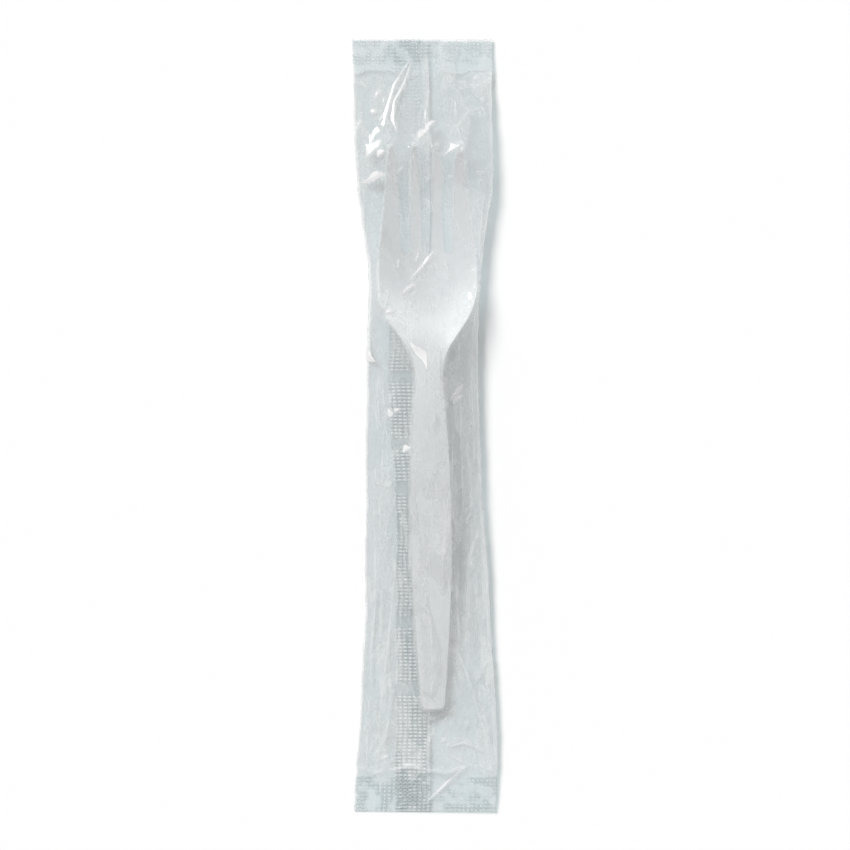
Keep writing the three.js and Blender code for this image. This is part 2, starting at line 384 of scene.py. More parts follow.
# The crumple's layers: how far apart its points are, how much further lengthwise, and its seed.
BIG = (9, 1.5, 3)
MEDIUM = (4.2, 1.7, 11)
SMALL = (1.9, 1.5, 29)
STREAKS = (2.4, 5, 17)
WIDE_STREAKS = (5.5, 3.5, 19)
BACK_BIG = (7, 1.8, 41)
BACK_MEDIUM = (3.4, 1.7, 47)
LIGHT_AZIMUTH = math.radians(147)
GLINT_SLOPE = 0.56  # the slope that mirrors the glint lamp straight up
SHADED_SLOPE = 1.1  # the slope of a pinched fold's other flank
# Pinched folds: a run of points (x, y), and how high the fold stands; each one's lit flank is also
# painted as a glint.
PINCHES = (
    (((-3.9, 103.1), (-8.4, 95.5), (-11.5, 84.3)), 0.34),
    (((-3.7, 102), (-5.9, 95.5), (-8.4, 90.7), (-8.7, 85.7), (-7.9, 82)), 0.34),
    (((-12.6, 94.1), (-14, 91.9)), 0.4),
    (((-13.8, 88.5), (-14.9, 87.4)), 0.4),
    (((-18, 85.7), (-19.2, 82.9)), 0.3),
    (((-12.2, 79.8), (-13.6, 77.8), (-16.4, 74.8)), 0.3),
    (((-11.2, 76.7), (-13.2, 75)), 0.24),
    (((-18.4, 67.8), (-14.8, 69), (-11.2, 70.8)), 0.3),
    (((0.6, 91.5), (0, 83.4)), 0.22),
    (((8.7, 92.3), (8.4, 85.5)), 0.16),
    (((-3.9, 81.7), (-2.2, 79.5), (1.4, 82.9)), 0.3),
    (((0.2, 82.4), (2.8, 85.2)), 0.25),
    (((4.8, 75), (9.3, 77.8)), 0.36),
    (((-8.1, 69.7), (-5.9, 72.3)), 0.34),
    (((-2.4, 69.2), (-0.8, 70.7)), 0.4),
    (((6.2, 69.1), (7.9, 69.7)), 0.3),
    (((13.8, 71), (16, 70.5), (18.3, 72.2)), 0.26),
    (((13.6, 96.9), (14.9, 98.4)), 0.26),
    (((15.4, 90.8), (16.8, 91.8)), 0.22),
    (((-1.4, 48.8), (-2.6, 45.5)), 0.28),
    (((-7.2, 47), (-7.5, 43.9)), 0.24),
    (((2.7, 49), (-0.6, 44.2), (-4.1, 40.9)), 0.38),
    (((-2.6, 39.5), (-6.4, 36.6)), 0.36),
    (((-8.2, 32.5), (-11.2, 30.9)), 0.24),
    (((-16.1, 23.8), (-15, 19.6), (-13.9, 17.8)), 0.3),
    (((-16, 20.6), (-14.4, 17.6)), 0.22),
    (((6.9, 6.6), (10.6, 11.4)), 0.45),
    (((7.6, 6.2), (10.4, 8.4)), 0.4),
    (((-10.2, 4.9), (-8.8, 3.4), (-7, 4.3)), 0.26),
    (((-6, -7.8), (-3.7, -6.4)), 0.26),
    (((11.4, -27.4), (13, -24)), 0.25),
    (((0.3, -106.4), (7, -99.9), (11.4, -96)), 0.42),
    (((-12, -93.6), (-10.6, -92.9)), 0.25),
    (((-15.2, -98.6), (-13.9, -97.6)), 0.25),
    (((4.8, -89.4), (5.9, -88)), 0.25),
)
# Patches painted as bright glints on the front ply, each by its corners; the film's shape is not
# changed there.
PAINTED_GLINT_PATCHES = (
    ((-4.9, 23.8), (-2.6, 22.3), (-0.5, 21.3), (0.5, 19.9), (0.6, 15), (-0.6, 17.6), (-2.8, 19.6)),
    (
        (-18.4, 67.7), (-16, 69.2), (-15, 70.8), (-13.4, 71.4), (-12.6, 70.4), (-10.8, 70.2),
        (-14.8, 68),
    ),
)
# Soft folds: a run of points (x, y), how high the fold stands, and how far its flanks reach.
DRAPES = (
    (((12, -4), (12.8, -21.6), (13.2, -33), (12, -38.5), (11.5, -53.8), (12.4, -61)), -0.75, 0.8),
    (((7.8, -2), (7.4, -20.8), (8.7, -29.8), (7.4, -36)), 0.6, 0.7),
    (((14.6, 2), (14.8, -8.4), (16.1, -24.9), (17.3, -41.4), (17.7, -61.9)), 0.6, 0.6),
    (((9.8, 8), (10.2, -10), (10.8, -26)), 0.4, 0.6),
    (((13.6, 30), (13, 18), (13.4, 4), (14.2, -12)), 0.45, 0.6),
    (((15.7, -29), (12.4, -37.3)), 0.4, 0.5),
    (((11.6, -15.4), (7.4, -20.4)), 0.35, 0.5),
    (((14.4, -40), (14.8, -52), (14.2, -62)), 0.4, 0.6),
    (((9.2, -38), (9, -50), (9.6, -60)), 0.45, 0.7),
    (((-14.4, -11.7), (-13.6, -16.2), (-10.3, -17.1), (-7.8, -13.8)), 0.35, 0.5),
    (((-14.4, -24), (-14, -41.4), (-14.4, -53.8), (-15.4, -70)), 0.4, 0.7),
    (((-7.8, -22.8), (-8.6, -41.4), (-9.5, -51.7), (-11.1, -68.9)), 0.4, 0.6),
    (((-12, 12), (-11, 2), (-12.4, -8)), 0.35, 0.6),
    (((1.7, -19.9), (2.5, -23.2), (0.8, -37.3), (0, -51.7), (2.5, -52.9), (4.6, -50)), 0.22, 0.35),
    (((6.2, -22), (5.6, -32), (4.9, -39.3), (4.6, -49.6)), 0.25, 0.4),
    (((9.1, -62.9), (13.2, -74), (16.5, -86.4), (17.3, -90.5)), 0.7, 1.1),
    (((11.1, -49.2), (12.4, -61.6)), 0.4, 0.6),
    (((18.2, -68.6), (19.4, -86.4), (19.4, -98)), 0.4, 0.6),
    (((18.2, -64.9), (14.4, -72.3)), 0.5, 0.6),
    (((-10.3, -57.5), (-13.2, -86.4)), 0.5, 0.9),
    (((-8.2, -72.3), (-11.5, -89.6)), 0.5, 0.7),
    (((-15.7, -76), (-16.5, -97)), 0.35, 0.6),
    (((2.5, -85.1), (0.8, -90.5), (0.8, -96.7)), 0.5, 0.6),
    (((6.2, -90.5), (11.1, -89.2), (16.1, -91.3)), 0.5, 0.5),
    (((6.6, -92.5), (13.2, -95.8), (16.9, -95.8)), 0.4, 0.5),
    (((9, -78.1), (4.5, -83.8)), -0.6, 0.7),
    (((-20.2, 96.9), (-17.7, 95.7), (-15.2, 94.3)), 0.35, 0.5),
    (((9.1, 94.5), (13.2, 94.5), (19, 97.8)), 0.4, 0.5),
    (((-0.8, 94.5), (0, 99.4), (2.5, 101.1), (5.8, 100.3), (8.7, 94.9)), 0.35, 0.6),
    (((19, 90.4), (15.7, 88.7), (12, 87.9), (9.1, 83.4), (9.9, 79.6)), 0.45, 0.6),
    (((-17.4, 66), (-17, 52), (-15.2, 38)), 0.35, 0.6),
    (((16.4, 64), (15.4, 52), (15.6, 40)), 0.4, 0.6),
    (((-9.4, 40), (-12.4, 28)), 0.3, 0.4),
    (((1, 46), (-6.2, 31)), 0.3, 0.4),
)


def fork_plan(fork, x, y):
    """The fork's upper and under surface over a plan grid; nan where there is no fork."""
    tree = BVHTree.FromObject(fork, bpy.context.evaluated_depsgraph_get())
    top = np.full((len(y), len(x)), np.nan)
    under = np.full((len(y), len(x)), np.nan)
    down = Vector((0, 0, -1))
    up = Vector((0, 0, 1))
    low, high = read_points(fork).min(0) / MM, read_points(fork).max(0) / MM
    for j in np.nonzero((y > low[1]) & (y < high[1]))[0]:
        for i in np.nonzero((x > low[0]) & (x < high[0]))[0]:
            hit = tree.ray_cast(Vector((x[i], y[j], FAR)) * MM, down)[0]
            if hit:
                top[j, i] = hit.z / MM
                under[j, i] = tree.ray_cast(Vector((x[i], y[j], -FAR)) * MM, up)[0].z / MM
    return spread(top, np.fmax), spread(under, np.fmin)


def spread(field, pick):
    """Each sample of a field takes the highest or lowest of itself and its neighbours."""
    for axis in (0, 1):
        for step in (-1, 1):
            field = pick(field, np.roll(field, step, axis))
    return field


def inside(polygon, x, y):
    """Which points of a plan grid lie in a polygon."""
    within = np.zeros(x.shape, bool)
    for (ax, ay), (bx, by) in zip(polygon, polygon[1:] + polygon[:1]):
        crosses = (ay > y) != (by > y)
        at = (bx - ax) * (y - ay) / (by - ay if by != ay else 1e-9) + ax
        within ^= crosses & (x < at)
    return within


def blur(field, reach):
    """Smooths a field with a bell of that reach, in millimetres."""
    count = max(1, int(3 * reach / SAMPLE))
    taps = np.exp(-0.5 * (np.arange(-count, count + 1) * SAMPLE / reach) ** 2)
    taps /= taps.sum()
    for axis in (0, 1):
        pad = [(0, 0), (0, 0)]
        pad[axis] = (count, count)
        padded = np.pad(field, pad, mode="edge")
        size = field.shape[axis]
        field = sum(
            tap * np.take(padded, np.arange(step, step + size), axis=axis)
            for step, tap in enumerate(taps)
        )
    return field


def facets(xs, ys, spacing, stretch, seed):
    """A crumpled field between -1 and 1: random heights joined by flat triangles."""
    rng = np.random.default_rng(seed)
    across = np.arange(xs[0] - spacing, xs[-1] + 2 * spacing, spacing)
    along = np.arange(ys[0] - spacing * stretch, ys[-1] + 2 * spacing * stretch, spacing * stretch)
    px, py = np.meshgrid(across, along)
    px = (px + rng.uniform(-0.5, 0.5, px.shape) * spacing).ravel()
    py = (py + rng.uniform(-0.5, 0.5, py.shape) * spacing * stretch).ravel()
    heights = rng.uniform(-1, 1, px.size)
    flat = [Vector((x, y / stretch)) for x, y in zip(px, py)]
    points, _, faces, origins, _, _ = delaunay_2d_cdt(flat, [], [], 0, 1e-5)
    at = np.array([(point.x, point.y * stretch) for point in points])
    high = np.array([heights[origin[0]] for origin in origins])
    field = np.zeros((len(ys), len(xs)))
    for face in faces:
        corner = at[list(face)]
        level = high[list(face)]
        low = corner.min(0)
        top = corner.max(0)
        i0, i1 = np.searchsorted(xs, (low[0], top[0]))
        j0, j1 = np.searchsorted(ys, (low[1], top[1]))
        if i0 == i1 or j0 == j1:
            continue
        (ax, ay), (bx, by), (cx, cy) = corner
        turn = (by - cy) * (ax - cx) + (cx - bx) * (ay - cy)
        if abs(turn) < 1e-9:
            continue
        gx = xs[None, i0:i1] - cx
        gy = ys[j0:j1, None] - cy
        first = ((by - cy) * gx + (cx - bx) * gy) / turn
        second = ((cy - ay) * gx + (ax - cx) * gy) / turn
        third = 1 - first - second
        inside = (first >= 0) & (second >= 0) & (third >= 0)
        value = first * level[0] + second * level[1] + third * level[2]
        block = field[j0:j1, i0:i1]
        block[inside] = value[inside]
    return field


def settle(height, low, held, steps, sag):
    """Pulls a sheet taut over what lies under it, as a stretched skin with a little weight."""
    for _ in range(steps):
        wide = np.pad(height, 1, mode="edge")
        mean = (wide[:-2, 1:-1] + wide[2:, 1:-1] + wide[1:-1, :-2] + wide[1:-1, 2:]) / 4
        height = np.where(held, height, np.maximum(mean - sag, low))
    return height


def coarser(field, factor):
    return field[::factor, ::factor]


def finer(field, shape):
    """Stretches a field to a shape with more samples."""
    rows = np.linspace(0, field.shape[0] - 1, shape[0])
    columns = np.linspace(0, field.shape[1] - 1, shape[1])
    return sample(field, columns[None, :], rows[:, None])


def sample(field, column, row):
    """Reads a field between its samples."""
    column = np.clip(column, 0, field.shape[1] - 1.001)
    row = np.clip(row, 0, field.shape[0] - 1.001)
    i = column.astype(int)
    j = row.astype(int)
    s = column - i
    t = row - j
    near = field[j, i] * (1 - s) + field[j, i + 1] * s
    far = field[j + 1, i] * (1 - s) + field[j + 1, i + 1] * s
    return near * (1 - t) + far * t


def beside(x, y, run, reach):
    """The part of the plan grid near a run of points: where it is, how far each sample is from
    the run, how far to the lit side of it, how far along, and the way that the lit side faces."""
    run = np.array(run, float)
    steps = np.linalg.norm(np.diff(run, axis=0), axis=1)
    rows = np.nonzero((y >= run[:, 1].min() - reach) & (y <= run[:, 1].max() + reach))[0]
    columns = np.nonzero((x >= run[:, 0].min() - reach) & (x <= run[:, 0].max() + reach))[0]
    gx, gy = np.meshgrid(x[columns], y[rows])
    best = np.full(gx.shape, 1e9)
    found = np.zeros((4, *gx.shape))
    done = 0
    for start, end, step in zip(run[:-1], run[1:], steps):
        along = (end - start) / step
        out = np.array([-along[1], along[0]])
        if out @ (math.cos(LIGHT_AZIMUTH), math.sin(LIGHT_AZIMUTH)) < 0:
            out = -out
        t = np.clip((gx - start[0]) * along[0] + (gy - start[1]) * along[1], 0, step)
        dx = gx - start[0] - along[0] * t
        dy = gy - start[1] - along[1] * t
        near = np.hypot(dx, dy)
        off = dx * out[0] + dy * out[1]
        share = (done + t) / steps.sum()
        here = np.stack(np.broadcast_arrays(off, share, out[0], out[1]))
        found = np.where(near < best, here, found)
        best = np.minimum(near, best)
        done += step
    return np.ix_(rows, columns), best, *found


def drape(field, x, y, run, height, width):
    """Adds a soft fold with a sharp crest to a field of heights."""
    block, best, _, share, _, _ = beside(x, y, run, 5 * width)
    taper = np.sin(np.pi * np.clip(share * 0.94 + 0.03, 0, 1)) ** 0.5
    field[block] += height * taper * np.exp(-best / width)


def pinch(upper, calm, painted_glint_mask, x, y, run, height):
    """Adds a sharp fold whose lit flank faces the glint lamp, and marks that flank for a painted
    glint.
    """
    block, best, off, share, ways_x, ways_y = beside(x, y, run, 2.5)
    taper = height * np.sin(np.pi * np.clip(share * 0.92 + 0.04, 0, 1)) ** 0.6
    slope_y, slope_x = np.gradient(calm[block], SAMPLE)
    facing = slope_x * ways_x + slope_y * ways_y
    slope = np.clip(GLINT_SLOPE + facing, 0.12, 0.9)
    lit = taper - slope * np.maximum(off, 0)
    shade = taper - SHADED_SLOPE * np.maximum(-off, 0)
    rise = np.clip(np.minimum(lit, shade) - 1.2 * np.maximum(best - np.abs(off), 0), 0, None)
    still = smoothstep(-best, -1.7, -0.8)
    upper[block] = upper[block] * (1 - still) + calm[block] * still + rise
    # The lit flank is marked for a painted glint, beside the real fold.
    flank = np.clip(rise / 0.08, 0, 1) * (lit < shade) * (off > 0)
    painted_glint_mask[block] = np.maximum(painted_glint_mask[block], flank)


def film_heights(fork, crumpling):
    """The heights of the upper and the lower ply on the plan grid, where each is pressed, where a
    glint is painted on the upper one, and how sharply each is creased.
    """
    x = np.arange(-PLAN_HALF_WIDTH, PLAN_HALF_WIDTH + SAMPLE / 2, SAMPLE)
    y = np.arange(-HALF_LENGTH - PLAN_MARGIN, HALF_LENGTH + PLAN_MARGIN + SAMPLE / 2, SAMPLE)
    gx, gy = np.meshgrid(x, y)
    left = PACK_LEFT(y)[:, None]
    right = PACK_RIGHT(y)[:, None]
    level = np.clip((gx - left) / (right - left), 0, 1)
    fold = LEFT_HEIGHT(y)[:, None] * (1 - level) + RIGHT_HEIGHT(y)[:, None] * level
    fork_up, fork_down = fork_plan(fork, x, y)
    middle = (left + right) / 2
    reach = (right - left) / 2
    share = np.clip(np.abs(gx - middle) / reach, 0, 1)
    top_edge = HALF_LENGTH - SEAL_TOP + 0.55 * np.sin(gx * 0.42 + 1) + 0.25 * np.sin(gx * 1.1)
    foot_edge = HALF_LENGTH - SEAL_FOOT + 0.8 * np.sin(gx * 0.35) + 0.3 * np.sin(gx * 0.9 + 2)
    seal = np.maximum(
        smoothstep(gy, top_edge - SEAL_OUTSIDE, top_edge + SEAL_INSIDE),
        smoothstep(-gy, foot_edge - SEAL_OUTSIDE, foot_edge + SEAL_INSIDE),
    )
    inward = np.minimum(gx - left, right - gx)
    edge = smoothstep(inward, 0.2, 3.5)

    back = BACK_FLOOR + (fold - BACK_FLOOR) * BACK_HEIGHT(y)[:, None]
    lower = back + (fold - back) * share**4
    lower = lower * (1 - seal) + fold * seal

    resting = np.where(np.isnan(fork_up), -FAR, fork_up + CLEARANCE)
    low = np.maximum(resting, lower + PLY_GAP)
    held = (inward <= 0.05) | (seal > 0.5)
    upper = np.where(held, fold, low)
    for factor, steps, sag in SETTLING:
        small = coarser(upper, factor)
        small = settle(small, coarser(low, factor), coarser(held, factor), steps, sag)
        upper = np.where(held, fold, np.maximum(finer(small, upper.shape), low))

    size = crumpling * CRUMPLE(y)[:, None] * (0.25 + 0.75 * edge) * (1 - 0.75 * seal)
    big = facets(x, y, *BIG)
    medium = facets(x, y, *MEDIUM)
    small = facets(x, y, *SMALL)
    streaks = facets(x, y, *STREAKS)
    wide_streaks = facets(x, y, *WIDE_STREAKS)
    by_handle = 1 - smoothstep(np.abs(gy - HANDLE_MIDDLE), *HANDLE_REACH)
    crumple = size * (
        (1 - 0.5 * by_handle) * (0.9 * big + 0.55 * medium)
        + 0.2 * small
        + by_handle * (0.6 * streaks + 1.1 * wide_streaks)
    )
    for run, height, width in DRAPES:
        drape(crumple, x, y, run, height, width)
    upper = upper + blur(crumple, 0.14)
    calm = blur(upper, 1.3)
    # Where a glint is painted on the front ply: the lit flanks of the sharp folds and the glint
    # patches.
    pinched = np.zeros(upper.shape)
    for run, height in PINCHES:
        pinch(upper, calm, pinched, x, y, run, height)
    for polygon in PAINTED_GLINT_PATCHES:
        pinched = np.maximum(pinched, inside(polygon, gx, gy))
    upper = blur(upper, 0.12)

    back_big = facets(x, y, *BACK_BIG)
    back_medium = facets(x, y, *BACK_MEDIUM)
    back_crumple = size * (0.5 * (1 + back_big) + 0.24 * (1 + back_medium))
    lower = lower + blur(back_crumple, 0.3) * (1 - seal) + crumple * seal
    beneath = np.where(np.isnan(fork_down), FAR, fork_down - CLEARANCE)
    beneath = np.maximum(beneath, BACK_LOWEST + 0.02)
    lower = np.minimum(lower, beneath)
    lower = np.maximum(blur(lower, 0.2), BACK_LOWEST)
    lower = np.minimum(lower, beneath)

    upper = np.maximum(upper, resting)
    gap = PLY_GAP * (1 - seal) * (0.3 + 0.7 * edge) + 0.05
    lower = np.where(seal > 0, lower, np.maximum(np.minimum(lower, upper - gap), BACK_LOWEST))
    upper = np.maximum(upper, lower + gap)
    upper = lower + gap + (upper - lower - gap) * (1 - seal)
    touching = np.clip(1 - (upper - resting) / 0.2, 0, 1)
    return x, y, upper, lower, touching, pinched, bend(upper), bend(lower)


def bend(height):
    """How sharply a ply is creased, from 0 to 1."""
    wide = np.pad(blur(height, 0.12), 1, mode="edge")
    around = wide[:-2, 1:-1] + wide[2:, 1:-1] + wide[1:-1, :-2] + wide[1:-1, 2:]
    curl = np.abs(around - 4 * wide[1:-1, 1:-1]) / SAMPLE**2
    return np.clip(curl / 1.2, 0, 1)


UPPER_COLUMNS = 128
LOWER_COLUMNS = 18
FIN_COLUMNS = 5
BODY_ROWS = 480
SEAL_ROWS_TOP = 24
SEAL_ROWS_FOOT = 32


def web_rows():
    foot_end = SEAL_FOOT - HALF_LENGTH
    top_start = HALF_LENGTH - SEAL_TOP
    return np.concatenate([
        np.linspace(-HALF_LENGTH, foot_end, SEAL_ROWS_FOOT, endpoint=False),
        np.linspace(foot_end, top_start, BODY_ROWS, endpoint=False),
        np.linspace(top_start, HALF_LENGTH, SEAL_ROWS_TOP + 1),
    ])


def build_film(fork, crumpling):
    """One open web: a seam margin, the right of the back, the front, the rest of the back and the
    other seam margin."""
    x, y, upper, lower, touching, pinched, upper_bend, lower_bend = film_heights(fork, crumpling)
    rows = web_rows()

    def read(field, px, py):
        return sample(field, (px - x[0]) / SAMPLE, (py - y[0]) / SAMPLE)

    left = PACK_LEFT(rows) + 0.12 * np.sin(rows * 0.21) + 0.07 * np.sin(rows * 0.83 + 1)
    right = PACK_RIGHT(rows) + 0.12 * np.sin(rows * 0.17 + 2) + 0.07 * np.sin(rows * 0.71)
    root = FIN_ROOT(rows)
    tip = root - FIN_WIDTH + 0.25 * np.sin(rows * 0.35)
    halfway = (lower + upper) / 2
    # Each run of columns: where it starts and ends, how many steps it has, the heights that it
    # follows, how far beside itself it reads them, what it adds to them, and its part of the web.
    strips = (
        (tip, root - 0.3, FIN_COLUMNS, lower, 0, -0.16, 0, 10),
        (root + 0.3, right - 0.12, LOWER_COLUMNS, lower, 0, 0, 10.3, 29.9),
        (right + 0.02, right + 0.02, 0, halfway, -0.14, 0, 30, 30),
        (right - 0.12, left + 0.12, UPPER_COLUMNS, upper, 0, 0, 30.1, 69.9),
        (left - 0.02, left - 0.02, 0, halfway, 0.14, 0, 70, 70),
        (left + 0.12, root - 0.2, LOWER_COLUMNS, lower, 0, 0, 70.1, 89.7),
        (root, root, 0, lower, 0, -0.05, 89.9, 89.9),
        (root - 0.2, tip, FIN_COLUMNS, lower, 0, -0.1, 90.1, 100),
    )
    parts = []
    for start, end, steps, heights, beside_it, added, cut_start, cut_end in strips:
        px = start[:, None] + (end - start)[:, None] * np.linspace(0, 1, steps + 1)
        py = np.broadcast_to(rows[:, None], px.shape)
        cut = np.broadcast_to(np.linspace(cut_start, cut_end, steps + 1), px.shape)
        parts.append((px, py, read(heights, px + beside_it, py) + added, cut))
    px, py, pz, cut = (np.concatenate(columns, axis=1) for columns in zip(*parts))
    pz = np.maximum(pz, LOWEST)
    piece, order = grid(FILM_NAME, px.shape[1] - 1, px.shape[0] - 1)
    place_grid(piece, order, np.stack([px, py, pz], axis=-1) * MM)
    is_upper = (cut > FRONT[0] * WEB_WIDTH) & (cut < FRONT[1] * WEB_WIDTH)
    crease = np.where(is_upper, read(upper_bend, px, py), read(lower_bend, px, py))
    keep_numbers(
        piece, order, cut=cut / WEB_WIDTH, crease=crease,
        touching=read(touching, px, py) * is_upper, pinched=read(pinched, px, py) * is_upper,
    )
    lay_out_web(piece)
    part_from(piece, fork)
    only(piece)
    bpy.ops.object.shade_smooth()
    return piece


def part_from(piece, fork):
    """Lifts the front off the fork, and lowers the back, wherever a face still crosses it,
    whichever way the face is split into two triangles."""
    solid = BVHTree.FromObject(fork, bpy.context.evaluated_depsgraph_get())
    places = read_points(piece)
    near = [solid.find_nearest(place, NEAR_FORK * MM)[0] is not None for place in places]
    faces = []
    for face in piece.data.polygons:
        a, b, c, d = face.vertices
        if near[a] or near[b] or near[c] or near[d]:
            faces += [(a, b, c), (a, c, d), (a, b, d), (b, c, d)]
    cut = read_numbers(piece, "cut")
    way = np.where((cut > FRONT[0]) & (cut < FRONT[1]), PARTING, -PARTING) * MM
    for _ in range(MOST_PARTINGS):
        crossing = BVHTree.FromPolygons(places.tolist(), faces).overlap(solid)
        if not crossing:
            break
        points = sorted({point for face, _ in crossing for point in faces[face]})
        places[points, 2] += way[points]
    places[:, 2] = np.maximum(places[:, 2], LOWEST * MM)
    write_points(piece, places)


def lay_out_web(piece):
    """Gives each point its place on the flat cut sheet, as the piece's UV map."""
    cut = read_numbers(piece, "cut")
    places = read_points(piece)
    corners = np.zeros(len(piece.data.loops), int)
    piece.data.loops.foreach_get("vertex_index", corners)
    scale = WEB_WIDTH / PACK_LENGTH
    layer = piece.data.uv_layers[0] if piece.data.uv_layers else piece.data.uv_layers.new(name="web")
    layer.name = "web"
    uv = np.stack([cut * scale, places[:, 1] / (PACK_LENGTH * MM) + 0.5], axis=-1)
    layer.data.foreach_set("uv", uv[corners].reshape(-1))


# The materials. Their lengths are in millimetres too, but a texture's scale is per metre.


class Nodes:
    """A node tree that is wired with short calls. A value is a number or a node's output."""

    def __init__(self, owner):
        owner.use_nodes = True
        self.tree = owner.node_tree
        self.tree.nodes.clear()

    def add(self, kind, inputs=None, **settings):
        node = self.tree.nodes.new(kind)
        for name, value in settings.items():
            setattr(node, name, value)
        for name, value in (inputs or {}).items():
            if hasattr(value, "is_output"):
                self.tree.links.new(value, node.inputs[name])
            else:
                node.inputs[name].default_value = value
        return node

    def maths(self, operation, *values):
        return self.add("ShaderNodeMath", dict(enumerate(values)), operation=operation).outputs[0]

    def vector(self, operation, *values):
        inputs = dict(enumerate(values))
        return self.add("ShaderNodeVectorMath", inputs, operation=operation).outputs[0]

    def times(self, first, *others):
        for other in others:
            first = self.maths("MULTIPLY", first, other)
        return first

    def most(self, first, *others):
        for other in others:
            first = self.maths("MAXIMUM", first, other)
        return first

    def line(self, value, slope, start):
        return self.maths("MULTIPLY_ADD", value, slope, start)

    def without(self, value):
        """What is left of one."""
        return self.maths("SUBTRACT", 1.0, value)

    def ramp(self, value, low, high, start=0.0, end=1.0):
        inputs = {"Value": value, "From Min": low, "From Max": high, "To Min": start, "To Max": end}
        node = self.add("ShaderNodeMapRange", inputs, interpolation_type="SMOOTHSTEP")
        return node.outputs["Result"]

    def wave(self, value, period):
        return self.line(self.maths("SINE", self.line(value, 2 * math.pi / period, 0.0)), 0.5, 0.5)

    def number(self, name):
        return self.add("ShaderNodeAttribute", attribute_name=name).outputs["Fac"]

    def noise(self, where, scale, detail, read="Fac", **more):
        inputs = {"Vector": where, "Scale": scale, "Detail": detail, **more}
        return self.add("ShaderNodeTexNoise", inputs).outputs[read]

    def mix(self, factor, *colours):
        """A colour between two, each a colour or a node's output."""
        first, second = (
            colour if hasattr(colour, "is_output") else (*colour, 1) for colour in colours
        )
        inputs = {"Factor": factor, "A": first, "B": second}
        return self.add("ShaderNodeMix", inputs, data_type="RGBA").outputs["Result"]

    def blend(self, factor, first, second):
        """A shader between two."""
        inputs = {0: factor, 1: first.outputs[0], 2: second.outputs[0]}
        return self.add("ShaderNodeMixShader", inputs)


SEAL_PITCH = (1.25, 1.05)  # the seals' dots, across and along
FIN_PITCH = (1.4, 1.0)  # the back seam's dots
FIN_EDGE = (9.4, 8.6)  # how far from the web's edge the back seam's dots end
NECK = (150.0, 132.0)  # between these, from the foot, the back seam comes out from under the bowl
NEAR_SEAL = (4.0, 1.0)  # between these, from a seal, the film is calmed by it
BEND = 0.006  # how far the edges of the hazy patches wander
PATCH_SHAPE = (1, 0.32, 0)  # how fast the patches change across, lengthwise and upwards


